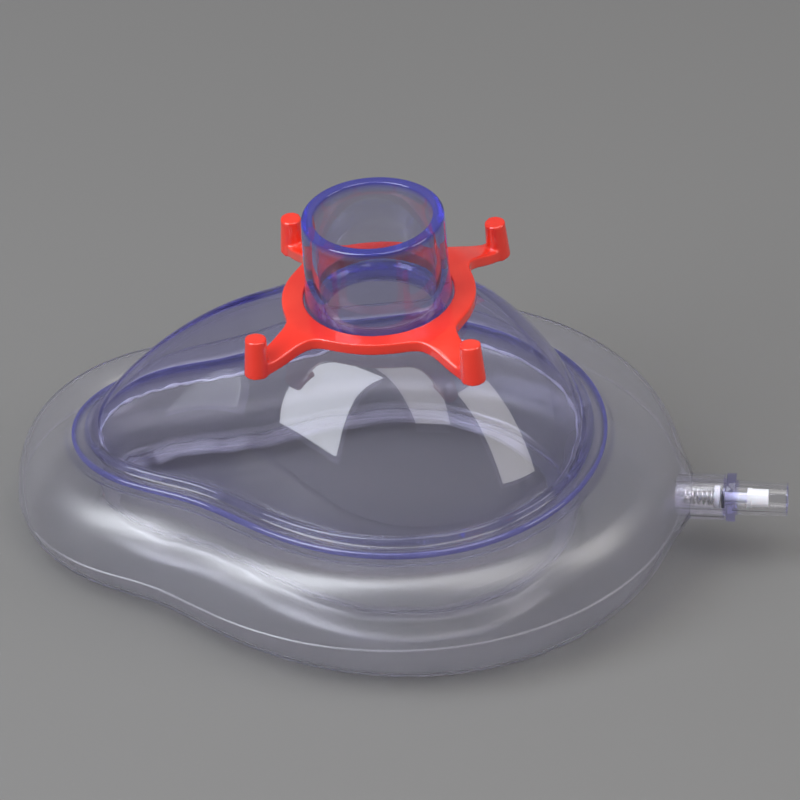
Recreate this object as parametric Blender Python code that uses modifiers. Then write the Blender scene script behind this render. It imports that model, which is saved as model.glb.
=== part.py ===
"""Anaesthesia and resuscitation face mask with an inflatable cushion, a hook ring and an inflation valve.

Frame: +X towards the wearer's chin, +Z up through the port, the cushion rests on z = 0.
The mask is symmetric about the XZ plane.
"""

from math import atan2, cos, hypot, pi, radians, sin, tan

import bmesh
import bpy
import numpy as np
from mathutils import Matrix, Vector

MM = 0.001
GAP = 0.3  # clearance between touching pieces, in mm like every size below

# Outlines: x = a0 + a1 cos t + a2 cos 2t + a3 cos 3t, y = b1 sin t + b2 sin 2t + b3 sin 3t
RIM_ALONG = (-20.2, 46.2, 7.8, 5.4)
RIM_ACROSS = (34.1, 9.0, 5.9)
SEAM_ALONG = (-22.2, 56.5, 12.0, 8.0)
SEAM_ACROSS = (47.0, 9.7, 8.0)
AROUND = 60  # points in each outline

# The rim and the port lean by the same angle towards the nose
TILT = radians(3.67)
RIM_HEIGHT = 23.3
SEAM_HEIGHT = 10.3
SEAM_SLOPE = 0.052

# Dome, flange and port
PORT_X = -4.25
RING_SEAT_HEIGHT = 54.8
PORT_HEIGHT = 17.0
PORT_ROOT_RADIUS = 13.7
PORT_TOP_RADIUS = 13.1
PORT_BORE_RADIUS = 11.0
PORT_STOP_RADIUS = 10.3
DOME_TOP_HEIGHT = 51.4
DOME_CHIN_DROP = 1.0
DOME_SPREAD = 1.92
DOME_FULLNESS = 1.12
DOME_WALL = 1.7
ROOT_WALL = 1.1  # wall under the port's foot, as a share of the dome's wall
FLANGE_WIDTH = 2.7
FLANGE_THICKNESS = 1.3
STEP_RISE = 1.3
WALL_INSET = 4.0

# Cushion
SKIN = 1.0
BULGE_TOP = 0.42  # share of the cushion's width at which it is highest
FLAT_EDGE = 0.35  # share of the cushion's width at which it leaves the floor
INNER_WALL_INSET = 5.4
WELD_HEIGHT = 4.6
FLAP_INSET = 9.0

# Hook ring
RING_INNER = PORT_ROOT_RADIUS + GAP
RING_OUTER = 17.6
RING_OVAL = 0.45  # extra reach along the mask, and as much less across it
RING_THICKNESS = 2.3
PEG_SPACING_X = 39.8
PEG_SPACING_Y = 40.6
PEG_FOOT_RADIUS = 2.3
PEG_TOP_RADIUS = 1.95
PEG_ABOVE_RING = 2.9
PEG_LEAN = radians(4.0)
ARM_DIP = 2.4
ARM_HALF_ANGLE = radians(6.0)
ARM_FLARE = 3.2  # the higher, the tighter the fillet between ring and arm
ARM_PAST_PEG = 1.5  # how far an arm's end reaches past its peg's axis

# Inflation valve, with stations measured along its axis from the cushion's edge
SLEEVE_RADIUS = 4.45
SLEEVE_BORE = 3.75
SLEEVE_SPAN = (-3.0, 7.9)
BARREL_RADIUS = SLEEVE_BORE - GAP
BARREL_BORE = 2.45
BARREL_START = -1.6
FLANGE_SPAN = (8.2, 10.0)
VALVE_FLANGE_RADIUS = 4.65
SEAT_SPAN = (8.1, 9.3)
SEAT_HOLE = 1.4
NOZZLE_END = 19.8
NOZZLE_RADIUS = 3.35
NOZZLE_BORE = 2.45
RETAINER_SPAN = (-1.5, -0.1)
RETAINER_HOLE = 0.9
DISC_SPAN = (5.9, 7.0)
DISC_RADIUS = 2.15
GUIDE_RADIUS = 0.8
GUIDE_START = 3.0
STEM_RADIUS = 0.95
HEAD_SPAN = (12.1, 16.1)
HEAD_RADIUS = 1.8
HEAD_COLLAR_RADIUS = 1.93
HEAD_COLLAR_LENGTH = 0.9
SEAL_SPAN = (7.25, 7.85)
SEAL_BORE = 1.2
SPRING_WIRE = 0.2
SPRING_RADIUS = 1.55
SPRING_TURNS = 6
SPRING_SPAN = (0.2, 5.6)


def clear_scene():
    for obj in list(bpy.data.objects):
        bpy.data.objects.remove(obj)


def make_collection(name, hidden=False):
    collection = bpy.data.collections.new(name)
    bpy.context.scene.collection.children.link(collection)
    collection.hide_render = hidden
    return collection


def make_material(name, colour, roughness, metallic=0.0, alpha=1.0):
    material = bpy.data.materials.new(name)
    material.use_nodes = True
    shader = material.node_tree.nodes["Principled BSDF"]
    shader.inputs["Base Color"].default_value = (*colour, 1.0)
    shader.inputs["Roughness"].default_value = roughness
    shader.inputs["Metallic"].default_value = metallic
    shader.inputs["Alpha"].default_value = alpha
    return material


def outline(along, across):
    """The plan points of one closed outline, in order round it."""
    t = np.arange(AROUND) * 2 * pi / AROUND
    x = along[0] + sum(a * np.cos(k * t) for k, a in enumerate(along[1:], 1))
    y = sum(b * np.sin(k * t) for k, b in enumerate(across, 1))
    return np.stack([x, y], axis=1)


def inset(points, distance):
    """The outline moved inwards by a distance, square to its edge."""
    edge = np.roll(points, -1, axis=0) - np.roll(points, 1, axis=0)
    inward = np.stack([-edge[:, 1], edge[:, 0]], axis=1)
    return points + distance * inward / np.linalg.norm(inward, axis=1, keepdims=True)


def with_heights(plan, heights):
    return np.column_stack([plan, np.broadcast_to(heights, len(plan))])


def rim_height(plan):
    return RIM_HEIGHT + tan(TILT) * plan[:, 0]


def seam_height(plan):
    return SEAM_HEIGHT + SEAM_SLOPE * plan[:, 0]


def finish_mesh(name, mesh, material, collection, sharp=35):
    mesh.shade_smooth()
    mesh.set_sharp_from_angle(angle=radians(sharp))
    obj = bpy.data.objects.new(name, mesh)
    obj.data.materials.append(material)
    collection.objects.link(obj)
    return obj


def loft(name, rings, material, collection):
    """A solid through rings of equal count, the last of which joins the first again."""
    bm = bmesh.new()
    rows = [[bm.verts.new(Vector(point) * MM) for point in ring] for ring in rings]
    for low, high in zip(rows, rows[1:] + rows[:1]):
        for i in range(len(low)):
            j = (i + 1) % len(low)
            bm.faces.new((low[i], low[j], high[j], high[i]))
    bmesh.ops.recalc_face_normals(bm, faces=bm.faces)
    mesh = bpy.data.meshes.new(name)
    bm.to_mesh(mesh)
    bm.free()
    return finish_mesh(name, mesh, material, collection)


def turned(name, profile, material, collection, parent, steps=32):
    """A closed (radius, station) profile turned about the parent's Z axis, listed down its outer side first."""
    bm = bmesh.new()
    corners = [bm.verts.new((radius * MM, 0, station * MM)) for radius, station in profile]
    for start, end in zip(corners, corners[1:]):
        bm.edges.new((start, end))
    if profile[0][0] > 0:
        bm.edges.new((corners[-1], corners[0]))
    mesh = bpy.data.meshes.new(name)
    bm.to_mesh(mesh)
    bm.free()
    obj = finish_mesh(name, mesh, material, collection)
    obj.parent = parent
    screw = obj.modifiers.new("turn", "SCREW")
    screw.steps = steps
    screw.render_steps = steps
    screw.use_merge_vertices = True
    screw.merge_threshold = 0.00001
    screw.use_smooth_shade = True
    return obj


def boolean(obj, other, operation):
    modifier = obj.modifiers.new(operation.lower(), "BOOLEAN")
    modifier.operation = operation
    modifier.object = other


def cone(name, foot_radius, top_radius, bottom, top, matrix, parent, collection, sides=24):
    """A helper solid along the parent's Z axis, moved by a matrix in millimetres."""
    bm = bmesh.new()
    bmesh.ops.create_cone(
        bm,
        cap_ends=True,
        segments=sides,
        radius1=foot_radius,
        radius2=top_radius,
        depth=top - bottom,
        matrix=matrix @ Matrix.Translation((0, 0, (top + bottom) / 2)),
    )
    bmesh.ops.scale(bm, vec=(MM, MM, MM), verts=bm.verts)
    mesh = bpy.data.meshes.new(name)
    bm.to_mesh(mesh)
    bm.free()
    obj = bpy.data.objects.new(name, mesh)
    obj.parent = parent
    obj.hide_render = True
    obj.display_type = "WIRE"
    collection.objects.link(obj)
    return obj


def axis_empty(name, location, lean, collection):
    """An empty whose Z axis leans from the vertical, towards +X for a positive angle."""
    empty = bpy.data.objects.new(name, None)
    empty.location = Vector(location) * MM
    empty.rotation_euler = (0, lean, 0)
    collection.objects.link(empty)
    return empty


def port_ring(radius, height):
    """A circle square to the port's axis, at a height above the hook ring's seat."""
    wall = inset(outline(RIM_ALONG, RIM_ACROSS), WALL_INSET)
    around = np.arctan2(wall[:, 1], wall[:, 0] - PORT_X)
    flat_x = radius * np.cos(around)
    return np.column_stack(
        [
            PORT_X + flat_x * cos(TILT) - height * sin(TILT),
            radius * np.sin(around),
            RING_SEAT_HEIGHT + flat_x * sin(TILT) + height * cos(TILT),
        ]
    )


def dome_ring(share, depth):
    """A level of the dome from its foot (share 1) to the port's root (share 0), at a depth inside its face."""
    foot = inset(outline(RIM_ALONG, RIM_ACROSS), WALL_INSET + depth)
    around = np.arctan2(foot[:, 1], foot[:, 0] - PORT_X)
    root = (PORT_ROOT_RADIUS - depth) * np.column_stack([np.cos(around), np.sin(around)])
    chin_drop = DOME_CHIN_DROP * (1 + np.cos(around)) / 2
    root_height = DOME_TOP_HEIGHT - ROOT_WALL * depth + tan(TILT) * root[:, 0] - chin_drop
    root[:, 0] += PORT_X
    foot_height = rim_height(foot) + STEP_RISE
    rise = (1 - share**DOME_SPREAD) ** (1 / DOME_FULLNESS)
    plan = root + (foot - root) * share
    return with_heights(plan, foot_height + (root_height - foot_height) * rise)


def flange_ring(depth, above):
    plan = inset(outline(RIM_ALONG, RIM_ACROSS), depth)
    return with_heights(plan, rim_height(plan) + above)


def make_dome(material, collection):
    """Dome, stepped bonding flange and 22 mm port, one moulding."""
    shares = (0.98, 0.92, 0.81, 0.66, 0.49, 0.31, 0.13)
    rings = [
        flange_ring(0, -FLANGE_THICKNESS),
        flange_ring(0, -0.3),
        flange_ring(0.3, 0),
        flange_ring(FLANGE_WIDTH, 0),
        flange_ring(FLANGE_WIDTH + 0.5, STEP_RISE - 0.2),
        *[dome_ring(share, 0) for share in (1, *shares, 0)],
        port_ring(PORT_ROOT_RADIUS, 0),
        port_ring(PORT_TOP_RADIUS, PORT_HEIGHT - 0.4),
        port_ring(PORT_TOP_RADIUS - 0.4, PORT_HEIGHT),
        port_ring(PORT_BORE_RADIUS + 0.3, PORT_HEIGHT),
        port_ring(PORT_BORE_RADIUS, PORT_HEIGHT - 0.3),
        port_ring(PORT_BORE_RADIUS, -0.6),
        port_ring(PORT_STOP_RADIUS, -1.2),
        port_ring(PORT_STOP_RADIUS, -4.0),
        *[dome_ring(share, DOME_WALL) for share in (0, *reversed(shares), 1)],
        flange_ring(WALL_INSET + DOME_WALL, -FLANGE_THICKNESS),
    ]
    return loft("mask_dome", rings, material, collection)


def quarter(start, end, bend, steps):
    """Points from start to end, leaving start upright and reaching end level."""
    points = []
    for i in range(steps + 1):
        turn = i / steps * pi / 2
        along = 1 - cos(turn) ** (2 / bend)
        rise = sin(turn) ** (2 / bend)
        points.append((start[0] + (end[0] - start[0]) * along, start[1] + (end[1] - start[1]) * rise))
    return points


def ribbon(line):
    """The closed section of a skin whose middle follows a line of (outward, height) points."""
    line = np.array(line)
    edge = np.gradient(line, axis=0)
    side = np.stack([-edge[:, 1], edge[:, 0]], axis=1)
    side *= SKIN / 2 / np.linalg.norm(side, axis=1, keepdims=True)
    return np.concatenate([line + side, (line - side)[::-1]])


def upper_section(width, rim, seam):
    """From the seam over the bulge, under the flange, down the inner wall and out along the weld flap."""
    seat = rim - FLANGE_THICKNESS - GAP - SKIN / 2
    side = quarter((width - SKIN / 2, seam + GAP / 2), (BULGE_TOP * width, rim - 1.0), 2.2, 5)
    return [
        *side,
        (1.9, rim - 1.5),
        (0.4, seat),
        (-FLANGE_WIDTH, seat),
        (-INNER_WALL_INSET + 0.6, seat - 1.2),
        (-INNER_WALL_INSET, (seat + WELD_HEIGHT) / 2),
        (-INNER_WALL_INSET + 0.3, WELD_HEIGHT + 1.6),
        (-INNER_WALL_INSET - 0.9, WELD_HEIGHT + 0.3),
        (-FLAP_INSET, WELD_HEIGHT - 1.3),
    ]


def lower_section(width, rim, seam):
    """From the seam down to the floor, along it, up to the inner weld and out along the weld flap."""
    under = SKIN + GAP
    side = quarter((width - SKIN / 2, seam - GAP / 2), (FLAT_EDGE * width, SKIN / 2), 2.1, 4)
    return [
        *side,
        (FLAT_EDGE * width - 0.8, SKIN / 2),
        (0.4, SKIN / 2),
        (-1.2, SKIN / 2),
        (-3.8, SKIN / 2 + 0.8),
        (-INNER_WALL_INSET - 0.6, WELD_HEIGHT + 0.1 - under),
        (-FLAP_INSET, WELD_HEIGHT - 1.3 - under),
    ]


def skin_rings(section):
    """One ring of points for each corner of the section, carried round the rim."""
    rim_plan = outline(RIM_ALONG, RIM_ACROSS)
    seam_plan = outline(SEAM_ALONG, SEAM_ACROSS)
    outward = seam_plan - rim_plan
    widths = np.linalg.norm(outward, axis=1)
    outward /= widths[:, None]
    columns = []
    for i in range(AROUND):
        corners = ribbon(section(widths[i], rim_height(rim_plan)[i], seam_height(seam_plan)[i]))
        plan = rim_plan[i] + corners[:, :1] * outward[i]
        columns.append(np.column_stack([plan, corners[:, 1]]))
    return np.stack(columns, axis=1)


def make_cushion(material, valve_axis, collection, cutters):
    """Upper and lower skins that meet at the outer seam and the inner weld, both pierced for the valve."""
    reach = SLEEVE_RADIUS + GAP
    hole = cone("valve_hole_cutter", reach, reach, -5, 5, Matrix(), valve_axis, cutters)
    for name, section in (("cushion_upper_skin", upper_section), ("cushion_lower_skin", lower_section)):
        skin = loft(name, skin_rings(section), material, collection)
        boolean(skin, hole, "DIFFERENCE")


def arm_angles():
    corner = atan2(PEG_SPACING_Y, PEG_SPACING_X)
    return [corner, pi - corner, pi + corner, 2 * pi - corner]


def peg_radius():
    return hypot(PEG_SPACING_X, PEG_SPACING_Y) / 2


def ring_stations():
    """Angles round the hook ring, close together at each arm and wider along the plain arcs."""
    near = [radians(step) for step in (-16, -11, -8, -6, -4.5, -3, -1.5, 0, 1.5, 3, 4.5, 6, 8, 11, 16)]
    arms = arm_angles()
    stations = []
    for arm, following in zip(arms, [*arms[1:], arms[0] + 2 * pi]):
        stations += [arm + step for step in near]
        start, end = arm + near[-1], following + near[0]
        stations += [start + (end - start) * i / 6 for i in range(1, 6)]
    return stations


def ring_reach(angle):
    """Outer radius of the hook ring: an oval with four arms that flare where they leave it."""
    off = min(abs((angle - arm + pi) % (2 * pi) - pi) for arm in arm_angles())
    oval = RING_OUTER + RING_OVAL * cos(2 * angle)
    reach = peg_radius() + ARM_PAST_PEG - oval
    return oval + reach / (1 + (off / ARM_HALF_ANGLE) ** ARM_FLARE)


def arm_drop(radius):
    """How far an arm has come down at a radius, easing out of the ring and into the peg's foot."""
    share = min(max((radius - RING_OUTER) / (peg_radius() - 1 - RING_OUTER), 0), 1)
    return ARM_DIP * share * share * (3 - 2 * share)


def make_hook_ring(material, port_axis, collection, cutters):
    """Flat ring with four arms, each ending in an upright peg that holds a head strap."""
    shares = (0, 0.28, 0.5, 0.7, 0.87, 1)
    rings = []
    for base, order in ((0, shares), (-RING_THICKNESS, shares[::-1])):
        for share in order:
            radii = [RING_INNER + share * (ring_reach(angle) - RING_INNER) for angle in ring_stations()]
            rings.append(
                [
                    (radius * cos(angle), radius * sin(angle), base - arm_drop(radius))
                    for radius, angle in zip(radii, ring_stations())
                ]
            )
    ring = loft("hook_ring", rings, material, collection)
    ring.parent = port_axis
    foot = -RING_THICKNESS - ARM_DIP - 0.1
    for number, angle in enumerate(arm_angles(), 1):
        place = Matrix.Rotation(angle, 4, "Z") @ Matrix.Translation((peg_radius(), 0, foot))
        place = place @ Matrix.Rotation(-PEG_LEAN, 4, "Y")
        height = PEG_ABOVE_RING - foot
        peg = cone(f"peg_{number}_tool", PEG_FOOT_RADIUS, PEG_TOP_RADIUS, 0, height, place, port_axis, cutters)
        boolean(ring, peg, "UNION")


def make_sleeve(material, valve_axis, collection):
    """Soft socket welded into the cushion's edge."""
    start, end = SLEEVE_SPAN
    profile = [(SLEEVE_RADIUS, end), (SLEEVE_RADIUS, start), (SLEEVE_BORE, start), (SLEEVE_BORE, end)]
    turned("valve_sleeve", profile, material, collection, valve_axis)


def make_valve_body(material, valve_axis, collection):
    """Barrel, flange, seat and nozzle, one clear moulding."""
    profile = [
        (NOZZLE_RADIUS - 0.15, NOZZLE_END),
        (NOZZLE_RADIUS, FLANGE_SPAN[1]),
        (VALVE_FLANGE_RADIUS, FLANGE_SPAN[1]),
        (VALVE_FLANGE_RADIUS, FLANGE_SPAN[0]),
        (BARREL_RADIUS, FLANGE_SPAN[0]),
        (BARREL_RADIUS, BARREL_START),
        (BARREL_BORE, BARREL_START),
        (BARREL_BORE, SEAT_SPAN[0]),
        (SEAT_HOLE, SEAT_SPAN[0]),
        (SEAT_HOLE, SEAT_SPAN[1]),
        (NOZZLE_BORE, SEAT_SPAN[1]),
        (NOZZLE_BORE, NOZZLE_END),
    ]
    turned("valve_body", profile, material, collection, valve_axis)


def make_plunger(material, valve_axis, collection):
    """Disc that carries the seal, stem through the seat, head that a syringe tip presses."""
    profile = [
        (0, HEAD_SPAN[1]),
        (HEAD_RADIUS, HEAD_SPAN[1]),
        (HEAD_RADIUS, HEAD_SPAN[0] + HEAD_COLLAR_LENGTH),
        (HEAD_COLLAR_RADIUS, HEAD_SPAN[0] + HEAD_COLLAR_LENGTH),
        (HEAD_COLLAR_RADIUS, HEAD_SPAN[0]),
        (STEM_RADIUS, HEAD_SPAN[0]),
        (STEM_RADIUS, DISC_SPAN[1]),
        (DISC_RADIUS, DISC_SPAN[1]),
        (DISC_RADIUS, DISC_SPAN[0]),
        (GUIDE_RADIUS, DISC_SPAN[0]),
        (GUIDE_RADIUS, GUIDE_START),
        (0, GUIDE_START),
    ]
    turned("valve_plunger", profile, material, collection, valve_axis, steps=24)


def make_washer(name, outer, bore, span, material, valve_axis, collection):
    profile = [(outer, span[1]), (outer, span[0]), (bore, span[0]), (bore, span[1])]
    turned(name, profile, material, collection, valve_axis, steps=24)


def make_spring(material, valve_axis, collection):
    """Compression spring round the plunger's guide, its end turns closed up."""
    per_turn = 14
    start, end = SPRING_SPAN[0] + SPRING_WIRE, SPRING_SPAN[1] - SPRING_WIRE
    curve = bpy.data.curves.new("valve_spring", "CURVE")
    curve.dimensions = "3D"
    curve.bevel_depth = SPRING_WIRE * MM
    curve.bevel_resolution = 1
    curve.use_fill_caps = True
    spline = curve.splines.new("POLY")
    count = SPRING_TURNS * per_turn
    spline.points.add(count)
    for i, point in enumerate(spline.points):
        turn = i / per_turn * 2 * pi
        station = start + (end - start) * i / count
        point.co = (SPRING_RADIUS * cos(turn) * MM, SPRING_RADIUS * sin(turn) * MM, station * MM, 1)
    curve.materials.append(material)
    obj = bpy.data.objects.new("valve_spring", curve)
    obj.parent = valve_axis
    collection.objects.link(obj)


def main():
    clear_scene()
    parts = make_collection("air_cushion_face_mask")
    cutters = make_collection("cutters", hidden=True)
    clear_hard = make_material("clear_dome_plastic", (0.80, 0.82, 0.92), 0.08, alpha=0.35)
    clear_soft = make_material("soft_cushion_film", (0.78, 0.80, 0.88), 0.35, alpha=0.45)
    clear_valve = make_material("clear_valve_plastic", (0.72, 0.72, 0.88), 0.15, alpha=0.4)
    red = make_material("red_hook_ring_plastic", (0.75, 0.06, 0.03), 0.3)
    white = make_material("white_plunger_plastic", (0.88, 0.88, 0.90), 0.35)
    black = make_material("black_seal_rubber", (0.02, 0.02, 0.03), 0.6)
    steel = make_material("spring_steel", (0.62, 0.61, 0.58), 0.25, metallic=1.0)

    port_axis = axis_empty("port_axis", (PORT_X, 0, RING_SEAT_HEIGHT), -TILT, parts)
    chin_x = sum(SEAM_ALONG)
    valve_lean = radians(90) - atan2(SEAM_SLOPE, 1)
    valve_axis = axis_empty("valve_axis", (chin_x, 0, SEAM_HEIGHT + SEAM_SLOPE * chin_x), valve_lean, parts)

    make_dome(clear_hard, parts)
    make_hook_ring(red, port_axis, parts, cutters)
    make_cushion(clear_soft, valve_axis, parts, cutters)
    make_sleeve(clear_soft, valve_axis, parts)
    make_valve_body(clear_valve, valve_axis, parts)
    make_plunger(white, valve_axis, parts)
    make_washer("valve_seal_ring", DISC_RADIUS, SEAL_BORE, SEAL_SPAN, black, valve_axis, parts)
    make_washer("spring_retainer", BARREL_BORE - GAP, RETAINER_HOLE, RETAINER_SPAN, clear_valve, valve_axis, parts)
    make_spring(steel, valve_axis, parts)


main()
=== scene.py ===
from math import atan2, cos, hypot, pi, radians, sin, tan

import bmesh
import bpy
import numpy as np
from mathutils import Matrix, Quaternion, Vector


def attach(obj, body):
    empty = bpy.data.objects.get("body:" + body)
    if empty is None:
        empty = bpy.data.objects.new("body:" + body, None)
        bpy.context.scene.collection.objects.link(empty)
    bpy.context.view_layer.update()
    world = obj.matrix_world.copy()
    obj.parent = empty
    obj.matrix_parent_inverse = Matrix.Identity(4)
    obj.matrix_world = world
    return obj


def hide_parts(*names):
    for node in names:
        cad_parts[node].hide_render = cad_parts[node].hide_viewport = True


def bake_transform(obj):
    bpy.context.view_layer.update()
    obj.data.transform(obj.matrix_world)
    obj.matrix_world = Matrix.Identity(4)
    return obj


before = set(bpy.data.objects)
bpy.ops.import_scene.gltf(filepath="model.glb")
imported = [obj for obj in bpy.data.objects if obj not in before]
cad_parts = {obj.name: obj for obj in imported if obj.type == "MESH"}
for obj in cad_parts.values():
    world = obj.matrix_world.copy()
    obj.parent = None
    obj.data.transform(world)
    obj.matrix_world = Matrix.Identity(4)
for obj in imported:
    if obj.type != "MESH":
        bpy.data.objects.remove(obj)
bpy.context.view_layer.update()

MM = 0.001

# Outlines: x = a0 + a1 cos t + a2 cos 2t + a3 cos 3t, y = b1 sin t + b2 sin 2t + b3 sin 3t
RIM_ALONG = (-20.2, 46.2, 7.8, 5.4)
RIM_ACROSS = (34.1, 9.0, 5.9)
SEAM_ALONG = (-22.2, 56.5, 12.0, 8.0)
SEAM_ACROSS = (47.0, 9.7, 8.0)
AROUND = 240

TILT = radians(3.67)
RIM_HEIGHT = 23.3
SEAM_HEIGHT = 10.3
SEAM_SLOPE = 0.052

PORT_X = -4.25
RING_SEAT_HEIGHT = 54.8
PORT_HEIGHT = 17.0
PORT_ROOT_RADIUS = 13.7
PORT_TOP_RADIUS = 13.1
PORT_BORE_RADIUS = 11.0
PORT_STOP_RADIUS = 10.3
DOME_TOP_HEIGHT = 51.4
DOME_CHIN_DROP = 1.0
DOME_SPREAD = 1.92
DOME_FULLNESS = 1.12
DOME_WALL = 1.7
ROOT_WALL = 1.1
WAIST_FILLING = 1.2
NOSE_POLISH_END = -26.0
NOSE_POLISH_FADE = 3.0
# Strength of the faint painted edge glow on the port's walls
PORT_EDGE_GLOW = 0.14
FLANGE_WIDTH = 2.7
FLANGE_THICKNESS = 1.3
STEP_RISE = 1.3
EDGE_ROUNDING = 0.45
BORE_ROUNDING = 0.3
DOME_LEVELS = 44
WALL_INSET = 4.0

FILM = 0.6
BULGE_TOP = 0.42
FLAT_EDGE = 0.35
INNER_WALL_INSET = 5.4
WELD_HEIGHT = 4.6
FLAP_INSET = 8.6

RING_INNER = 14.0
RING_OUTER = 17.6
RING_OVAL = 0.45
RING_THICKNESS = 2.3
RING_STEPS = 480
RING_VOXEL = 0.24
PEG_SPACING_X = 39.8
PEG_SPACING_Y = 40.6
PEG_FOOT_RADIUS = 2.3
PEG_TOP_RADIUS = 1.95
PEG_ABOVE_RING = 2.9
PEG_LEAN = radians(4.0)
ARM_DIP = 2.4
ARM_HALF_ANGLE = radians(6.0)
ARM_FLARE = 3.2
ARM_PAST_PEG = 1.5

SLEEVE_RADIUS = 4.45
VALVE_THICK_STATIONS = (7.9, 8.2, 10.0, 19.8)
# Strength of the painted deep-blue glow put on the valve's ends seen end on
VALVE_EDGE_GLOW = 0.65
SPRING_TURNS = 7.5
SPRING_WIRE_RADIUS = 0.2
SPRING_RADIUS = 1.55
SPRING_SPAN = (0.1, 5.7)
SPRING_END_SHARE = 0.12
SPRING_END_CLIMB = 0.05

# Camera, at the photograph's viewing angle
CAMERA_AZIMUTH = radians(7.69)
CAMERA_ELEVATION = radians(36.52)
CAMERA_DISTANCE = 650.0
CAMERA_AIM = (-2.24, 14.70, 19.31)
CAMERA_LENS = 150.1

# Softboxes, in metres
SOFTBOX_DISTANCE = 0.9


# ---------------------------------------------------------------- shape helpers

def around(count=AROUND):
    return np.arange(count) * 2 * pi / count


def outline(along, across, count=AROUND):
    """The plan points of one closed outline, in order round it."""
    t = around(count)
    x = along[0] + sum(a * np.cos(k * t) for k, a in enumerate(along[1:], 1))
    y = sum(b * np.sin(k * t) for k, b in enumerate(across, 1))
    return np.stack([x, y], axis=1)


def inset(points, distance):
    """The outline moved inwards by a distance, square to its edge."""
    edge = np.roll(points, -1, axis=0) - np.roll(points, 1, axis=0)
    inward = np.stack([-edge[:, 1], edge[:, 0]], axis=1)
    inward /= np.linalg.norm(inward, axis=1, keepdims=True)
    return points + np.reshape(distance, (-1, 1)) * inward


def with_heights(plan, heights):
    return np.column_stack([plan, np.broadcast_to(heights, len(plan))])


def rim_height(plan):
    return RIM_HEIGHT + tan(TILT) * plan[:, 0]


def seam_height(plan):
    return SEAM_HEIGHT + SEAM_SLOPE * plan[:, 0]


def waves(t, seed, turns, size):
    """A repeatable unevenness round an outline, made of a few sine waves."""
    rng = np.random.default_rng(seed)
    total = np.zeros_like(t)
    for turn in turns:
        total += rng.uniform(0.4, 1.0) * np.sin(turn * t + rng.uniform(0, 2 * pi))
    return size * total / len(turns)


def mesh_object(name, points, faces, sharp=40):
    mesh = bpy.data.meshes.new(name)
    mesh.from_pydata((np.asarray(points) * MM).tolist(), [], faces)
    mesh.validate()
    mesh.shade_smooth()
    mesh.set_sharp_from_angle(angle=radians(sharp))
    obj = bpy.data.objects.new(name, mesh)
    bpy.context.scene.collection.objects.link(obj)
    return obj


def loft(name, rings, sharp=40, edge_glow_depths=None):
    """A solid through rings of equal count, the last of which joins the first again.

    The glow depths, from 0 to 1 for each ring, set how much painted deep-blue edge glow goes there. It stands
    for light seen through much plastic.
    """
    rows, count = len(rings), len(rings[0])
    faces = []
    for row in range(rows):
        following = (row + 1) % rows
        for i in range(count):
            j = (i + 1) % count
            faces.append((row * count + i, row * count + j, following * count + j, following * count + i))
    obj = mesh_object(name, np.concatenate(rings), faces, sharp)
    # Painted edge glow attribute: deep blue is put into the colour where much plastic is seen end on
    if edge_glow_depths is not None:
        set_attribute(obj, "painted_edge_glow", np.repeat(edge_glow_depths, count))
    face_outwards(obj)
    return obj


def set_attribute(obj, name, values):
    layer = obj.data.attributes.new(name, "FLOAT", "POINT")
    layer.data.foreach_set("value", np.asarray(values, np.float32))


def face_outwards(obj):
    bm = bmesh.new()
    bm.from_mesh(obj.data)
    bmesh.ops.recalc_face_normals(bm, faces=bm.faces)
    bm.to_mesh(obj.data)
    bm.free()


def tube(name, path, radii, sides=10):
    """A closed round bead that follows a closed path, with a radius for each point."""
    path = np.asarray(path)
    ahead = np.roll(path, -1, axis=0) - np.roll(path, 1, axis=0)
    ahead /= np.linalg.norm(ahead, axis=1, keepdims=True)
    side = np.cross(ahead, (0, 0, 1))
    side /= np.linalg.norm(side, axis=1, keepdims=True)
    lift = np.cross(side, ahead)
    rings = []
    for k in range(sides):
        turn = 2 * pi * k / sides
        rings.append(path + np.reshape(radii, (-1, 1)) * (cos(turn) * side + sin(turn) * lift))
    return loft(name, rings, sharp=80)


def apply_modifiers(obj):
    """Bakes the modifiers into the mesh."""
    bpy.context.view_layer.update()
    evaluated = obj.evaluated_get(bpy.context.evaluated_depsgraph_get())
    mesh = bpy.data.meshes.new_from_object(evaluated)
    obj.modifiers.clear()
    obj.data = mesh


def boolean(obj, other, operation):
    modifier = obj.modifiers.new(operation.lower(), "BOOLEAN")
    modifier.operation = operation
    modifier.object = other
    apply_modifiers(obj)
    bpy.data.objects.remove(other)


def cone(name, foot_radius, top_radius, bottom, top, matrix, sides=48):
    bm = bmesh.new()
    bmesh.ops.create_cone(
        bm,
        cap_ends=True,
        segments=sides,
        radius1=foot_radius,
        radius2=top_radius,
        depth=top - bottom,
        matrix=matrix @ Matrix.Translation((0, 0, (top + bottom) / 2)),
    )
    bmesh.ops.scale(bm, vec=(MM, MM, MM), verts=bm.verts)
    mesh = bpy.data.meshes.new(name)
    bm.to_mesh(mesh)
    bm.free()
    obj = bpy.data.objects.new(name, mesh)
    bpy.context.scene.collection.objects.link(obj)
    return obj


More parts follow.
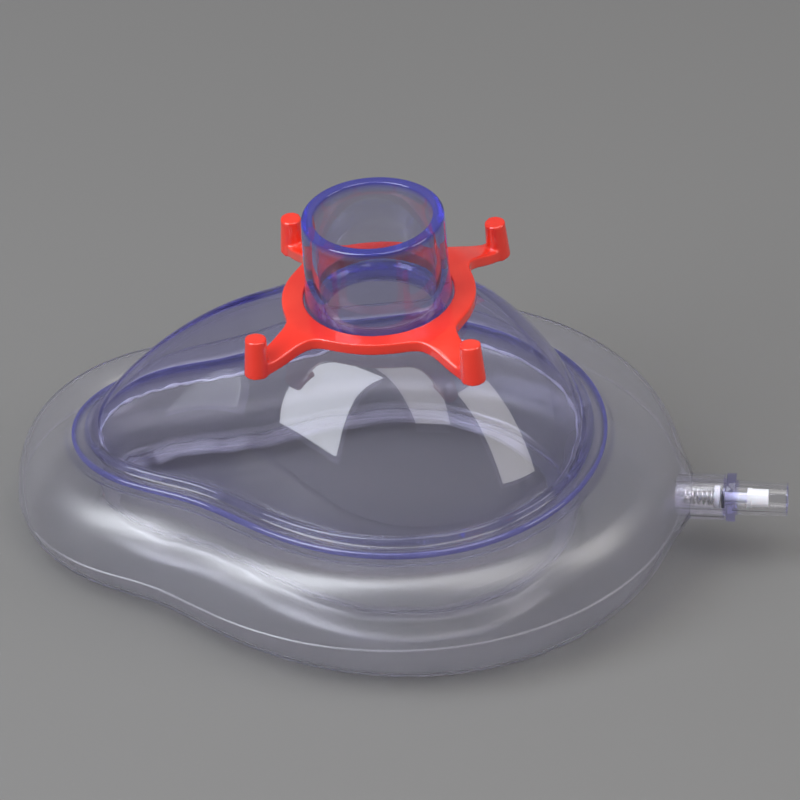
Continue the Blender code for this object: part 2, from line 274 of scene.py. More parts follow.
def turned(name, profile, matrix, steps=96, bevel=0.0, sharp=40, thick=()):
    """A closed (radius, station) profile turned about the Z axis of a matrix in millimetres.

    thick lists the stations where much plastic is seen end on; they get a painted deep-blue edge glow.
    """
    rings = []
    turn = around(steps)
    for radius, station in profile:
        rings.append(np.column_stack([radius * np.cos(turn), radius * np.sin(turn), np.full(steps, station)]))
    edge_glow_depths = [VALVE_EDGE_GLOW if station in thick else 0.0 for _, station in profile]
    obj = loft(name, rings, sharp, edge_glow_depths)
    if min(radius for radius, _ in profile) < 1e-6:
        bm = bmesh.new()
        bm.from_mesh(obj.data)
        bmesh.ops.remove_doubles(bm, verts=bm.verts, dist=1e-7)
        bmesh.ops.recalc_face_normals(bm, faces=bm.faces)
        bm.to_mesh(obj.data)
        bm.free()
    place = matrix.copy()
    place.translation *= MM
    obj.data.transform(place)
    if bevel:
        modifier = obj.modifiers.new("bevel", "BEVEL")
        modifier.width = bevel * MM
        modifier.segments = 3
        modifier.limit_method = "ANGLE"
        modifier.angle_limit = radians(40)
        apply_modifiers(obj)
        obj.data.shade_smooth()
        obj.data.set_sharp_from_angle(angle=radians(60))
    return obj


# ---------------------------------------------------------------- materials

def new_material(name):
    material = bpy.data.materials.new(name)
    material.use_nodes = True
    tree = material.node_tree
    return material, tree, tree.nodes["Principled BSDF"]


def noise(tree, scale, detail=3.0, stretch=(1, 1, 1)):
    """A noise value in object space, with scale in repeats per metre."""
    place = tree.nodes.new("ShaderNodeTexCoord")
    mapping = tree.nodes.new("ShaderNodeMapping")
    mapping.inputs["Scale"].default_value = stretch
    texture = tree.nodes.new("ShaderNodeTexNoise")
    texture.inputs["Scale"].default_value = scale
    texture.inputs["Detail"].default_value = detail
    tree.links.new(place.outputs["Object"], mapping.inputs["Vector"])
    tree.links.new(mapping.outputs["Vector"], texture.inputs["Vector"])
    return texture.outputs["Fac"]


def attribute(tree, name):
    node = tree.nodes.new("ShaderNodeAttribute")
    node.attribute_name = name
    return node.outputs["Fac"]


def ranged(tree, value, low, high, start=0.35, end=0.65):
    node = tree.nodes.new("ShaderNodeMapRange")
    node.inputs["From Min"].default_value = start
    node.inputs["From Max"].default_value = end
    node.inputs["To Min"].default_value = low
    node.inputs["To Max"].default_value = high
    tree.links.new(value, node.inputs["Value"])
    return node.outputs["Result"]


def mixed(tree, value, first, second):
    """A colour between two, each given as numbers or as another node's output."""
    node = tree.nodes.new("ShaderNodeMix")
    node.data_type = "RGBA"
    sockets = [socket for socket in node.inputs if socket.enabled and socket.type == "RGBA"]
    for socket, colour in zip(sockets, (first, second)):
        if isinstance(colour, tuple):
            socket.default_value = (*colour, 1)
        else:
            tree.links.new(colour, socket)
    tree.links.new(value, node.inputs[0])
    return next(socket for socket in node.outputs if socket.enabled and socket.type == "RGBA")


def bump(tree, shader, value, strength, distance):
    node = tree.nodes.new("ShaderNodeBump")
    node.inputs["Strength"].default_value = strength
    node.inputs["Distance"].default_value = distance
    tree.links.new(value, node.inputs["Height"])
    tree.links.new(node.outputs["Normal"], shader.inputs["Normal"])


def absorb(tree, colour, density):
    """Colour that deepens with the length of clear material the light passes through."""
    volume = tree.nodes.new("ShaderNodeVolumeAbsorption")
    volume.inputs["Color"].default_value = (*colour, 1)
    volume.inputs["Density"].default_value = density
    tree.links.new(volume.outputs["Volume"], tree.nodes["Material Output"].inputs["Volume"])


def clear_plastic(
    name, ior, roughness, tints, absorption, wave, coat, edge=None, edge_glow_haze=0.0, haze=0.0, dulled_coat=None
):
    """Clear plastic: slight flow marks, a tint that deepens with the length of plastic the light passes
    through, and optionally a painted deep-blue glow at edges seen end on.

    coat is the weight, index and roughness of the surface's gloss, and haze is the share of milkiness. edge,
    when given, is the colour of the painted edge glow, which is also made milkier there.
    """
    material, tree, shader = new_material(name)
    shader.inputs["Transmission Weight"].default_value = 1.0 - haze
    shader.inputs["IOR"].default_value = ior
    for socket, value in zip(("Coat Weight", "Coat IOR", "Coat Roughness"), coat):
        shader.inputs[socket].default_value = value
    tint_and_edge_glow = mixed(tree, noise(tree, 55), *tints)
    # Painted edge glow: deep blue goes into the colour, and milkiness into the clearness, where the painted
    # edge glow attribute is high
    if edge:
        depth = attribute(tree, "painted_edge_glow")
        tint_and_edge_glow = mixed(tree, depth, tint_and_edge_glow, edge)
    if edge_glow_haze:
        clearness = ranged(tree, depth, 1.0 - haze, 1.0 - edge_glow_haze, 0.5, 1.0)
        tree.links.new(clearness, shader.inputs["Transmission Weight"])
    if dulled_coat is not None:
        gloss = ranged(tree, attribute(tree, "dulled"), coat[0], dulled_coat, 0, 1)
        tree.links.new(gloss, shader.inputs["Coat Weight"])
    tree.links.new(tint_and_edge_glow, shader.inputs["Base Color"])
    tree.links.new(ranged(tree, noise(tree, 140, 4), *roughness), shader.inputs["Roughness"])
    if wave:
        bump(tree, shader, noise(tree, 60, 1), wave, 0.0002)
    absorb(tree, *absorption)
    return material


def moulded_plastic(name, colours, roughness, grain, polish=0.0):
    """Solid plastic with a faint mould grain, slightly uneven in colour and gloss."""
    material, tree, shader = new_material(name)
    shader.inputs["Coat Weight"].default_value = polish
    shader.inputs["Coat Roughness"].default_value = 0.05
    tree.links.new(mixed(tree, ranged(tree, noise(tree, 90), 0, 1), *colours), shader.inputs["Base Color"])
    tree.links.new(ranged(tree, noise(tree, 300, 5), *roughness), shader.inputs["Roughness"])
    shader.inputs["Subsurface Weight"].default_value = 0.08
    shader.inputs["Subsurface Radius"].default_value = (0.002, 0.0006, 0.0004)
    bump(tree, shader, noise(tree, 1800, 4), grain, 0.00005)
    return material


def seal_rubber(name):
    material, tree, shader = new_material(name)
    colour = mixed(tree, noise(tree, 900), (0.012, 0.012, 0.014), (0.03, 0.03, 0.034))
    tree.links.new(colour, shader.inputs["Base Color"])
    tree.links.new(ranged(tree, noise(tree, 1500), 0.5, 0.75), shader.inputs["Roughness"])
    bump(tree, shader, noise(tree, 4000), 0.3, 0.00002)
    return material


def spring_steel(name):
    material, tree, shader = new_material(name)
    shader.inputs["Metallic"].default_value = 1.0
    drawn = noise(tree, 2500, 4, stretch=(0.15, 1, 1))
    tree.links.new(mixed(tree, drawn, (0.62, 0.60, 0.56), (0.82, 0.80, 0.76)), shader.inputs["Base Color"])
    tree.links.new(ranged(tree, drawn, 0.14, 0.32), shader.inputs["Roughness"])
    bump(tree, shader, drawn, 0.2, 0.00002)
    return material


def floor_material():
    material, tree, shader = new_material("studio_floor")
    colour = mixed(tree, noise(tree, 3), (0.165, 0.161, 0.156), (0.175, 0.171, 0.166))
    tree.links.new(colour, shader.inputs["Base Color"])
    shader.inputs["Roughness"].default_value = 0.7
    return material


def make_materials():
    # Each edge colour below is a painted deep-blue glow, put where much plastic is seen end on
    return {
        "dome": clear_plastic(
            "clear_pvc_dome",
            ior=1.06,
            roughness=(0.01, 0.03),
            tints=((0.94, 0.94, 0.965), (0.955, 0.955, 0.975)),
            absorption=((0.42, 0.38, 0.94), 80.0),
            wave=0.012,
            coat=(1.0, 1.65, 0.02),
            edge=(0.09, 0.09, 0.52),
            edge_glow_haze=0.28,
            dulled_coat=0.15,
        ),
        "film": clear_plastic(
            "cushion_film",
            ior=1.05,
            roughness=(0.10, 0.16),
            tints=((0.965, 0.96, 0.98), (0.985, 0.98, 0.99)),
            absorption=((0.45, 0.42, 0.90), 60.0),
            wave=0.0,
            coat=(1.0, 2.0, 0.36),
            haze=0.012,
            dulled_coat=0.08,
        ),
        "bead": clear_plastic(
            "bonding_bead",
            ior=1.2,
            roughness=(0.3, 0.5),
            tints=((0.93, 0.93, 0.97), (1.0, 1.0, 1.0)),
            absorption=((0.6, 0.6, 0.95), 40.0),
            wave=0.3,
            coat=(1.0, 1.6, 0.15),
            haze=0.6,
        ),
        "sleeve": clear_plastic(
            "valve_sleeve_film",
            ior=1.06,
            roughness=(0.01, 0.04),
            tints=((0.975, 0.97, 1.0), (0.99, 0.985, 1.0)),
            absorption=((0.46, 0.42, 0.95), 40.0),
            wave=0.0,
            coat=(1.0, 1.5, 0.06),
            edge=(0.45, 0.42, 0.95),
        ),
        "valve": clear_plastic(
            "clear_valve_plastic",
            ior=1.07,
            roughness=(0.01, 0.03),
            tints=((0.985, 0.98, 1.0), (0.995, 0.99, 1.0)),
            absorption=((0.50, 0.46, 0.95), 20.0),
            wave=0.0,
            coat=(1.0, 1.55, 0.04),
            edge=(0.40, 0.38, 0.95),
        ),
        "red": moulded_plastic(
            "red_hook_ring_plastic",
            ((0.74, 0.024, 0.010), (0.82, 0.036, 0.015)),
            (0.16, 0.26),
            0.08,
            polish=0.8,
        ),
        "white": moulded_plastic(
            "white_plunger_plastic",
            ((0.84, 0.85, 0.87), (0.90, 0.90, 0.92)),
            (0.3, 0.42),
            0.1,
        ),
        "black": seal_rubber("black_seal_rubber"),
        "steel": spring_steel("spring_steel_wire"),
    }


# ---------------------------------------------------------------- the dome moulding

def port_angles():
    wall = inset(outline(RIM_ALONG, RIM_ACROSS), WALL_INSET)
    return np.arctan2(wall[:, 1], wall[:, 0] - PORT_X)


def port_ring(radius, height):
    """A circle square to the port's axis, at a height above the hook ring's seat."""
    turn = port_angles()
    flat_x = radius * np.cos(turn)
    return np.column_stack(
        [
            PORT_X + flat_x * cos(TILT) - height * sin(TILT),
            radius * np.sin(turn),
            RING_SEAT_HEIGHT + flat_x * sin(TILT) + height * cos(TILT),
        ]
    )


def hull_radius(points, turn):
    """Distance from the port's axis, at each bearing, to the outline of a cord stretched round the points."""
    bearings = around(720)
    facing = np.stack([np.cos(bearings), np.sin(bearings)])
    reach = ((points - (PORT_X, 0)) @ facing).max(axis=0)
    square = np.maximum(np.cos(turn[:, None] - bearings), 0.05)
    return (reach / square).min(axis=1)


def dome_ring(share, depth):
    """A level of the dome from its foot (share 1) to the port's root (share 0), at a depth inside its face.

    Above the foot the outline's waist soon fills out.
    """
    foot = inset(outline(RIM_ALONG, RIM_ACROSS), WALL_INSET + depth)
    turn = np.arctan2(foot[:, 1], foot[:, 0] - PORT_X)
    bearing = np.column_stack([np.cos(turn), np.sin(turn)])
    hollow = hull_radius(foot, turn) - np.hypot(foot[:, 0] - PORT_X, foot[:, 1])
    foot += min((1 - share) * WAIST_FILLING, 1) * hollow[:, None] * bearing
    root = (PORT_ROOT_RADIUS - depth) * bearing
    chin_drop = DOME_CHIN_DROP * (1 + np.cos(turn)) / 2
    root_height = DOME_TOP_HEIGHT - ROOT_WALL * depth + tan(TILT) * root[:, 0] - chin_drop
    root[:, 0] += PORT_X
    foot_height = rim_height(foot) + STEP_RISE
    rise = (1 - share**DOME_SPREAD) ** (1 / DOME_FULLNESS)
    plan = root + (foot - root) * share
    return with_heights(plan, foot_height + (root_height - foot_height) * rise)


def flange_ring(depth, above):
    plan = inset(outline(RIM_ALONG, RIM_ACROSS), depth)
    return with_heights(plan, rim_height(plan) + above)


def corner(centre, radius, start, end, steps=4):
    """Points of a rounded corner, as (across, up) pairs, with angles in degrees."""
    turns = [radians(start + (end - start) * i / steps) for i in range(steps + 1)]
    return [(centre[0] + radius * cos(turn), centre[1] + radius * sin(turn)) for turn in turns]


def flange_profile():
    """(inset, height above the rim, painted edge glow) of the flange, from its underside to the dome's foot.
    """
    profile = [(1.4, -FLANGE_THICKNESS, 0.1), (0.45, -FLANGE_THICKNESS, 0.8)]
    profile += [(0.12, -FLANGE_THICKNESS + 0.12, 0.9), (0.0, -0.9, 0.9)]
    edge_centre = (-EDGE_ROUNDING, -EDGE_ROUNDING)
    profile += [(-across, up, 0.88) for across, up in corner(edge_centre, EDGE_ROUNDING, 0, 90, 6)]
    profile += [(0.85, -0.10, 0.4), (1.10, -0.24, 0.1), (1.45, -0.28, 0), (2.2, -0.28, 0)]
    profile += [(2.5, -0.18, 0.2), (FLANGE_WIDTH - 0.05, 0.1, 0.6)]
    step_centre = (-FLANGE_WIDTH - EDGE_ROUNDING, STEP_RISE - EDGE_ROUNDING)
    profile += [(-across, up, 0.6) for across, up in corner(step_centre, EDGE_ROUNDING, 0, 90, 6)]
    profile += [(3.5, STEP_RISE - 0.05, 0.2), (WALL_INSET - 0.2, STEP_RISE - 0.04, 0.15)]
    return profile


def port_profile():
    """(radius, height, painted edge glow) of the port: up its outside, over the lip and down to the stop."""
    lip_centre = (PORT_TOP_RADIUS - EDGE_ROUNDING, PORT_HEIGHT - EDGE_ROUNDING)
    bore_centre = (PORT_BORE_RADIUS + BORE_ROUNDING, PORT_HEIGHT - BORE_ROUNDING)
    outside = [(PORT_ROOT_RADIUS, -2.4), (PORT_ROOT_RADIUS, 0.2), (PORT_ROOT_RADIUS - 0.12, 0.9)]
    outside += [(PORT_ROOT_RADIUS - 0.3, 5.0), (PORT_TOP_RADIUS + 0.15, PORT_HEIGHT - 3.0)]
    lip = corner(lip_centre, EDGE_ROUNDING, 0, 90) + corner(bore_centre, BORE_ROUNDING, 90, 180)
    bore = [(PORT_BORE_RADIUS, PORT_HEIGHT - 3.0), (PORT_BORE_RADIUS, 5.0), (PORT_BORE_RADIUS, -0.4)]
    stop = [(PORT_BORE_RADIUS - 0.15, -0.8), (PORT_STOP_RADIUS + 0.1, -1.1), (PORT_STOP_RADIUS, -1.4)]
    stop += [(PORT_STOP_RADIUS, -3.6), (PORT_STOP_RADIUS + 0.3, -4.1)]
    # Painted edge glow: faint on the port's walls, full on its lip and strong on its stop
    parts = ((outside, PORT_EDGE_GLOW), (lip, 1.0), (bore, PORT_EDGE_GLOW), (stop, 0.8))
    return [(radius, height, depth) for points, depth in parts for radius, height in points]


def make_dome(material):
    """Dome, stepped bonding flange and port: one clear moulding, with a painted deep-blue glow in its thick
    edges.

    Its gloss is full outside, and duller on the dome's inner face and towards the nose.
    """
    flange = flange_profile()
    shares = np.sin(np.linspace(pi / 2, 0, DOME_LEVELS)) ** 1.25
    rings = [(flange_ring(inwards, above), depth) for inwards, above, depth in flange]
    rings += [(dome_ring(share, 0), 0.2 * share**12) for share in shares]
    rings += [(port_ring(radius, height), depth) for radius, height, depth in port_profile()]
    outer_rings = len(rings)
    rings += [(dome_ring(share, DOME_WALL), 0.2 * share**12) for share in shares[::-1]]
    rings += [(flange_ring(WALL_INSET + DOME_WALL, -FLANGE_THICKNESS), 0.1)]
    # The painted edge glow of each ring: strongest at the flange's edges, the port's lip and its stop
    edge_glow_depths = [depth for _, depth in rings]
    dome = loft("dome_and_port", [ring for ring, _ in rings], sharp=50, edge_glow_depths=edge_glow_depths)
    dome.data.materials.append(material)
    dulled = np.zeros((len(rings), AROUND))
    for row in range(len(flange), len(flange) + len(shares)):
        dulled[row] = np.clip((NOSE_POLISH_END - rings[row][0][:, 0]) / NOSE_POLISH_FADE, 0, 1)
    dulled[outer_rings : outer_rings + len(shares)] = 1
    set_attribute(dome, "dulled", dulled.ravel())
    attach(dome, "dome")
    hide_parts("mask_dome")


def make_bonding_bead(material):
    """The uneven line of welded plastic along the dome's inner foot, where it is bonded to the cushion."""
    t = around()
    rim = outline(RIM_ALONG, RIM_ACROSS)
    far_side = np.clip(0.5 + rim[:, 1] / 20, 0, 1)
    plan = inset(rim, WALL_INSET + DOME_WALL + 0.15 + far_side * waves(t, 21, (7, 13, 19, 31, 47), 0.5))
    lift = 0.15 + far_side * waves(t, 8, (9, 17, 37), 0.3)
    path = with_heights(plan, rim_height(plan) - FLANGE_THICKNESS + lift)
    radii = 0.02 + (0.18 + np.abs(waves(t, 4, (11, 23, 41), 0.4))) * far_side
    bead = tube("bonding_bead", path, radii, sides=8)
    bead.data.materials.append(material)
    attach(bead, "dome")


# ---------------------------------------------------------------- the hook ring

def port_matrix():
    return Matrix.Translation((PORT_X, 0, RING_SEAT_HEIGHT)) @ Matrix.Rotation(-TILT, 4, "Y")


def arm_angles():
    corner_angle = atan2(PEG_SPACING_Y, PEG_SPACING_X)
    return [corner_angle, pi - corner_angle, pi + corner_angle, 2 * pi - corner_angle]


def peg_radius():
    return hypot(PEG_SPACING_X, PEG_SPACING_Y) / 2


def ring_reach(angle):
    """Outer radius of the hook ring: an oval with four arms that flare where they leave it."""
    off = min(abs((angle - arm + pi) % (2 * pi) - pi) for arm in arm_angles())
    oval = RING_OUTER + RING_OVAL * cos(2 * angle)
    reach = peg_radius() + ARM_PAST_PEG - oval
    return oval + reach / (1 + (off / ARM_HALF_ANGLE) ** ARM_FLARE)


def arm_drop(radius):
    share = min(max((radius - RING_OUTER) / (peg_radius() - 1 - RING_OUTER), 0), 1)
    return ARM_DIP * share * share * (3 - 2 * share)


def make_hook_ring(material):
    """Ring, arms and pegs melted into one moulding with small fillets."""
    stations = [radians(360 / RING_STEPS * i) for i in range(RING_STEPS)]
    shares = np.linspace(0, 1, 12)
    rings = []
    for base, order in ((0, shares), (-RING_THICKNESS, shares[::-1])):
        for share in order:
            ring = []
            for angle in stations:
                radius = RING_INNER + share * (ring_reach(angle) - RING_INNER)
                ring.append((radius * cos(angle), radius * sin(angle), base - arm_drop(radius)))
            rings.append(np.array(ring))
    ring = loft("strap_hook_ring", rings)
    foot = -RING_THICKNESS - ARM_DIP - 0.1
    for angle in arm_angles():
        place = Matrix.Rotation(angle, 4, "Z") @ Matrix.Translation((peg_radius(), 0, foot))
        place = place @ Matrix.Rotation(-PEG_LEAN, 4, "Y")
        peg = cone("peg", PEG_FOOT_RADIUS, PEG_TOP_RADIUS, 0, PEG_ABOVE_RING - foot, place)
        boolean(ring, peg, "UNION")
    remesh = ring.modifiers.new("melt", "REMESH")
    remesh.mode = "VOXEL"
    remesh.voxel_size = RING_VOXEL * MM
    smooth = ring.modifiers.new("fillet", "SMOOTH")
    smooth.factor = 0.6
    smooth.iterations = 4
    apply_modifiers(ring)
    place = port_matrix()
    place.translation *= MM
    ring.data.transform(place)
    ring.data.shade_smooth()
    ring.data.materials.append(material)
    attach(ring, "hook_ring")
    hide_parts("hook_ring")


# ---------------------------------------------------------------- the cushion

def quarter(start, end, bend, steps):
    """Points from start to end, leaving start upright and reaching end level."""
    points = []
    for i in range(steps + 1):
        turn = i / steps * pi / 2
        along = 1 - cos(turn) ** (2 / bend)
        rise = sin(turn) ** (2 / bend)
        points.append((start[0] + (end[0] - start[0]) * along, start[1] + (end[1] - start[1]) * rise))
    return points


def curve_through(points, steps=5):
    """A smooth curve through points (Catmull-Rom)."""
    points = [np.array(p, float) for p in points]
    padded = [2 * points[0] - points[1], *points, 2 * points[-1] - points[-2]]
    line = []
    for a, b, c, d in zip(padded, padded[1:], padded[2:], padded[3:]):
        for i in range(steps):
            t = i / steps
            square = 2 * a - 5 * b + 4 * c - d
            cube = 3 * b - a - 3 * c + d
            line.append(0.5 * (2 * b + (c - a) * t + square * t**2 + cube * t**3))
    return [*line, points[-1]]


def ribbon(line):
    """The closed section of a film whose middle follows a line of (outward, height) points."""
    line = np.array([tuple(point) for point in line])
    edge = np.gradient(line, axis=0)
    side = np.stack([-edge[:, 1], edge[:, 0]], axis=1)
    side *= FILM / 2 / np.linalg.norm(side, axis=1, keepdims=True)
    return np.concatenate([line + side, (line - side)[::-1]])


def upper_section(width, rim, seam, weld, flap):
    """From the seam over the bulge, under the flange, down the inner wall and out along the weld flap."""
    seat = rim - FLANGE_THICKNESS - 0.15 - FILM / 2
    side = quarter((width - FILM / 2, seam + 0.05), (BULGE_TOP * width, rim - 0.6), 2.2, 18)
    rest = curve_through(
        [
            side[-1],
            (2.1, rim - 1.05),
            (0.75, rim - 1.75),
            (-0.4, seat),
            (-FLANGE_WIDTH, seat),
            (-INNER_WALL_INSET + 0.8, seat - 1.0),
            (-INNER_WALL_INSET - 0.1, seat - 4.0),
            (-INNER_WALL_INSET - 0.3, (seat + weld) / 2),
            (-INNER_WALL_INSET + 0.2, weld + 2.4),
            (-INNER_WALL_INSET - 0.2, weld + 0.9),
            (-INNER_WALL_INSET - 1.3, weld + 0.35),
            (-flap, weld - 0.9),
        ]
    )
    return [*side[:-1], *rest]


def lower_section(width, rim, seam, weld, flap):
    """From the seam down to the floor, along it, up to the inner weld and out along the weld flap."""
    under = FILM + 0.08
    side = quarter((width - FILM / 2, seam - 0.05), (FLAT_EDGE * width, FILM / 2), 2.1, 14)
    rest = curve_through(
        [
            side[-1],
            (FLAT_EDGE * width * 0.5, FILM / 2),
            (-0.8, FILM / 2),
            (-3.4, FILM / 2 + 0.7),
            (-INNER_WALL_INSET + 0.3, weld - 1.0),
            (-INNER_WALL_INSET - 0.4, weld + 0.2 - under),
            (-INNER_WALL_INSET - 1.4, weld + 0.3 - under),
            (-flap, weld - 0.9 - under),
        ]
    )
    return [*side[:-1], *rest]


def skin_rings(section):
    """One ring of points for each corner of the section, carried round the rim."""
    t = around()
    rim_plan = outline(RIM_ALONG, RIM_ACROSS)
    seam_plan = outline(SEAM_ALONG, SEAM_ACROSS)
    outward = seam_plan - rim_plan
    widths = np.linalg.norm(outward, axis=1)
    outward /= widths[:, None]
    welds = WELD_HEIGHT + waves(t, 5, (2, 3, 5, 9, 14, 23), 1.1)
    flaps = FLAP_INSET + waves(t, 11, (2, 5, 7, 12), 0.9)
    stations = zip(widths, rim_height(rim_plan), seam_height(seam_plan), welds, flaps)
    columns = []
    for i, (width, rim, seam, weld, flap) in enumerate(stations):
        corners = ribbon(section(width, rim, seam, weld, flap))
        plan = rim_plan[i] + corners[:, :1] * outward[i]
        columns.append(np.column_stack([plan, corners[:, 1]]))
    return list(np.stack(columns, axis=1))


def valve_matrix():
    chin_x = sum(SEAM_ALONG)
    root = (chin_x, 0, SEAM_HEIGHT + SEAM_SLOPE * chin_x)
    return Matrix.Translation(root) @ Matrix.Rotation(radians(90) - atan2(SEAM_SLOPE, 1), 4, "Y")


def pull_neck(obj):
    """Draws the film out into a short gathered neck round the valve's sleeve."""
    to_valve = valve_matrix().inverted()
    back = valve_matrix()
    for vertex in obj.data.vertices:
        local = to_valve @ (vertex.co / MM)
        spread = hypot(local.x, local.y)
        if local.z < -6 or spread > 16:
            continue
        turn = atan2(local.y, local.x)
        pleat = 1 + 0.10 * sin(9 * turn + 1) + 0.07 * sin(14 * turn)
        reach = max(spread - SLEEVE_RADIUS, 0)
        local.z += 1.9 * pleat * np.exp(-((reach / 3.2) ** 1.4))
        vertex.co = (back @ local) * MM
    obj.data.update()


def make_film(name, node, section, air_side_first, material):
    """One film of the cushion, duller on its face towards the air inside."""
    rings = skin_rings(section)
    film = loft(name, rings, sharp=70)
    air_side = (np.arange(len(rings)) < len(rings) // 2) == air_side_first
    set_attribute(film, "dulled", np.repeat(air_side, AROUND))
    pull_neck(film)
    hole_radius = SLEEVE_RADIUS + 0.03
    boolean(film, cone("valve_hole", hole_radius, hole_radius, -7, 6, valve_matrix()), "DIFFERENCE")
    film.data.shade_smooth()
    film.data.set_sharp_from_angle(angle=radians(70))
    film.data.materials.clear()
    film.data.materials.append(material)
    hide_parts(node)
    return film


def make_seam_bead(material):
    """The weld bead along the outer seam, thinned to almost nothing at the valve's sleeve."""
    plan = inset(outline(SEAM_ALONG, SEAM_ACROSS), 0.12)
    path = with_heights(plan, seam_height(plan))
    to_valve = valve_matrix().inverted()
    near = [hypot(*(to_valve @ Vector(point)).xy) < 6.5 and point[0] > 40 for point in path]
    radii = np.where(near, 0.05, 0.28 + waves(around(), 3, (11, 17, 29), 0.03))
    bead = tube("seam_weld_bead", path, radii)
    bead.data.materials.append(material)
    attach(bead, "cushion")


def make_cushion(material):
    """Upper and lower films, welded along the outer seam and along the inner flap, with a weld bead."""
    film = make_film("cushion_upper_film", "cushion_upper_skin", upper_section, True, material)
    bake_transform(film)
    film = make_film("cushion_lower_film", "cushion_lower_skin", lower_section, False, material)
    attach(film, "cushion")
    make_seam_bead(material)


# ---------------------------------------------------------------- the inflation valve

def make_valve(materials):
    place = valve_matrix()
    pieces = {
        "valve_sleeve": (
            [(4.45, 7.9), (4.45, 7.4), (4.45, -1.2), (3.75, -1.2), (3.75, 7.4), (3.75, 7.9)],
            "sleeve", 0.12, "cushion", "soft_cushion_film",
        ),
        "valve_body": (
            [
                (3.2, 19.8), (3.2, 19.3), (3.34, 10.5), (3.35, 10.0), (4.65, 10.0), (4.65, 8.2), (3.45, 8.2),
                (3.45, 7.7), (3.45, -1.6), (2.45, -1.6), (2.45, 8.1), (1.4, 8.1), (1.4, 9.3), (2.45, 9.3),
                (2.45, 19.3), (2.45, 19.8),
            ],
            "valve", 0.1, "cushion", "clear_valve_plastic",
        ),
        "spring_retainer": (
            [(2.15, -0.1), (2.15, -1.5), (0.9, -1.5), (0.9, -0.1)],
            "valve", 0.08, "cushion", "clear_valve_plastic",
        ),
        "valve_plunger": (
            [
                (0, 16.1), (1.8, 16.1), (1.8, 13.0), (1.93, 13.0), (1.93, 12.1), (0.95, 12.1), (0.95, 7.0),
                (2.15, 7.0), (2.15, 5.9), (0.8, 5.9), (0.8, 3.0), (0, 3.0),
            ],
            "white", 0.09, "plunger", "white_plunger_plastic",
        ),
        "valve_seal_ring": (
            [(2.15, 7.85), (2.15, 7.25), (1.2, 7.25), (1.2, 7.85)],
            "black", 0.12, "plunger", "black_seal_rubber",
        ),
    }
    for node, (profile, look, bevel, body, slot) in pieces.items():
        piece = turned("fine_" + node, profile, place, bevel=bevel, thick=VALVE_THICK_STATIONS)
        piece.data.materials.append(materials[look])
        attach(piece, body)
        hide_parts(node)
    make_spring(materials["steel"], place)


def make_spring(material, place):
    """Helical spring with an almost flat turn at each end, which cuts into the turn that follows it."""
    per_turn, sides = 32, 12
    start, end = SPRING_SPAN
    count = int(SPRING_TURNS * per_turn)
    share = np.linspace(0, 1, count + 1)
    climb = np.clip((share - SPRING_END_SHARE) / (1 - 2 * SPRING_END_SHARE), 0, 1)
    climb = SPRING_END_CLIMB * share + (1 - SPRING_END_CLIMB) * climb
    rise = start + SPRING_WIRE_RADIUS + (end - start - 2 * SPRING_WIRE_RADIUS) * climb
    turn = share * SPRING_TURNS * 2 * pi
    path = np.column_stack([SPRING_RADIUS * np.cos(turn), SPRING_RADIUS * np.sin(turn), rise])
    ahead = np.gradient(path, axis=0)
    ahead /= np.linalg.norm(ahead, axis=1, keepdims=True)
    out = np.column_stack([np.cos(turn), np.sin(turn), np.zeros_like(turn)])
    lift = np.cross(out, ahead)
    rings = []
    for k in range(sides):
        angle = 2 * pi * k / sides
        rings.append(path + SPRING_WIRE_RADIUS * (cos(angle) * out + sin(angle) * lift))
    grid = np.stack(rings, axis=1).reshape(-1, 3)
    faces = []
    for i in range(count):
        for k in range(sides):
            m = (k + 1) % sides
            faces.append((i * sides + k, i * sides + m, (i + 1) * sides + m, (i + 1) * sides + k))
    faces += [tuple(range(sides)), tuple(count * sides + k for k in range(sides))]
    spring = mesh_object("fine_valve_spring", grid, faces, sharp=60)
    face_outwards(spring)
    placed = place.copy()
    placed.translation *= MM
    spring.data.transform(placed)
    spring.data.materials.append(material)
    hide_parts("valve_spring")
    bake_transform(spring)


# ---------------------------------------------------------------- stage

def direction(azimuth, elevation):
    """A unit vector towards a compass bearing seen from the object: 0 is towards -Y, 90 towards +X."""
    return Vector((sin(azimuth) * cos(elevation), -cos(azimuth) * cos(elevation), sin(elevation)))


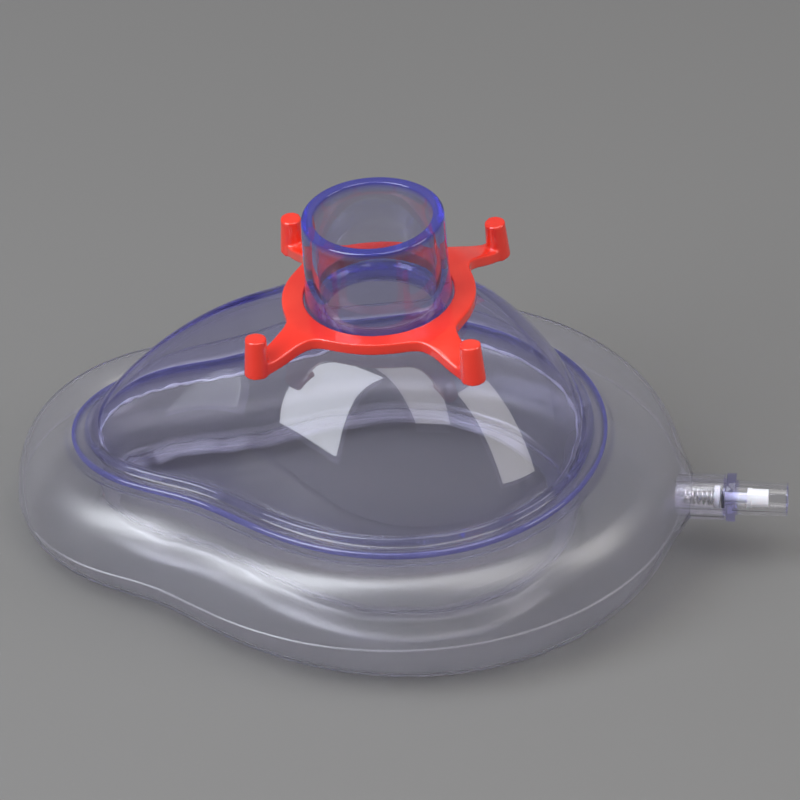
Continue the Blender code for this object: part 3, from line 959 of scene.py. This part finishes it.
def make_camera():
    data = bpy.data.cameras.new("camera")
    camera = bpy.data.objects.new("camera", data)
    back = direction(CAMERA_AZIMUTH, CAMERA_ELEVATION)
    camera.location = (Vector(CAMERA_AIM) + back * CAMERA_DISTANCE) * MM
    camera.rotation_mode = "QUATERNION"
    camera.rotation_quaternion = (-back).to_track_quat("-Z", "Y")
    data.lens = CAMERA_LENS
    data.sensor_width = 36
    data.clip_start = 0.01
    bpy.context.scene.collection.objects.link(camera)
    bpy.context.scene.camera = camera


def softbox(name, azimuth, elevation, roll, size, radiance, colour):
    """A rectangular soft light aimed at the object, with its bearing, height and roll in degrees."""
    data = bpy.data.lights.new(name, "AREA")
    data.shape = "RECTANGLE"
    data.size, data.size_y = size
    data.energy = radiance * pi * size[0] * size[1]
    data.color = colour
    light = bpy.data.objects.new(name, data)
    towards = direction(radians(azimuth), radians(elevation))
    light.location = Vector((0, 0, 0.03)) + towards * SOFTBOX_DISTANCE
    light.rotation_mode = "QUATERNION"
    turn = Quaternion((0, 0, 1), radians(roll))
    light.rotation_quaternion = (-towards).to_track_quat("-Z", "Y") @ turn
    bpy.context.scene.collection.objects.link(light)


def make_stage():
    bpy.ops.mesh.primitive_plane_add(size=8)
    floor = bpy.context.object
    floor.name = "studio_floor"
    floor.location.z = -0.0002
    floor.data.materials.append(floor_material())
    world = bpy.data.worlds.new("studio")
    bpy.context.scene.world = world
    world.use_nodes = True
    backdrop = world.node_tree.nodes["Background"]
    backdrop.inputs["Color"].default_value = (0.80, 0.81, 0.83, 1)
    backdrop.inputs["Strength"].default_value = 0.36
    softbox("softbox_left", -52.8, 45.1, 8.4, (0.52, 1.20), 5.8, (0.90, 0.94, 1.0))
    softbox("softbox_middle", 50.5, 71.1, -21.3, (0.41, 1.17), 2.4, (1.0, 0.985, 0.96))
    softbox("softbox_right", 83, 26, -15, (0.40, 0.67), 2.9, (1.0, 0.98, 0.95))
    scene = bpy.context.scene
    scene.cycles.max_bounces = 32
    scene.cycles.transmission_bounces = 32
    scene.cycles.glossy_bounces = 8
    scene.view_settings.view_transform = "Standard"


def main():
    materials = make_materials()
    make_camera()
    make_dome(materials["dome"])
    make_bonding_bead(materials["bead"])
    make_hook_ring(materials["red"])
    make_cushion(materials["film"])
    make_valve(materials)
    make_stage()


main()
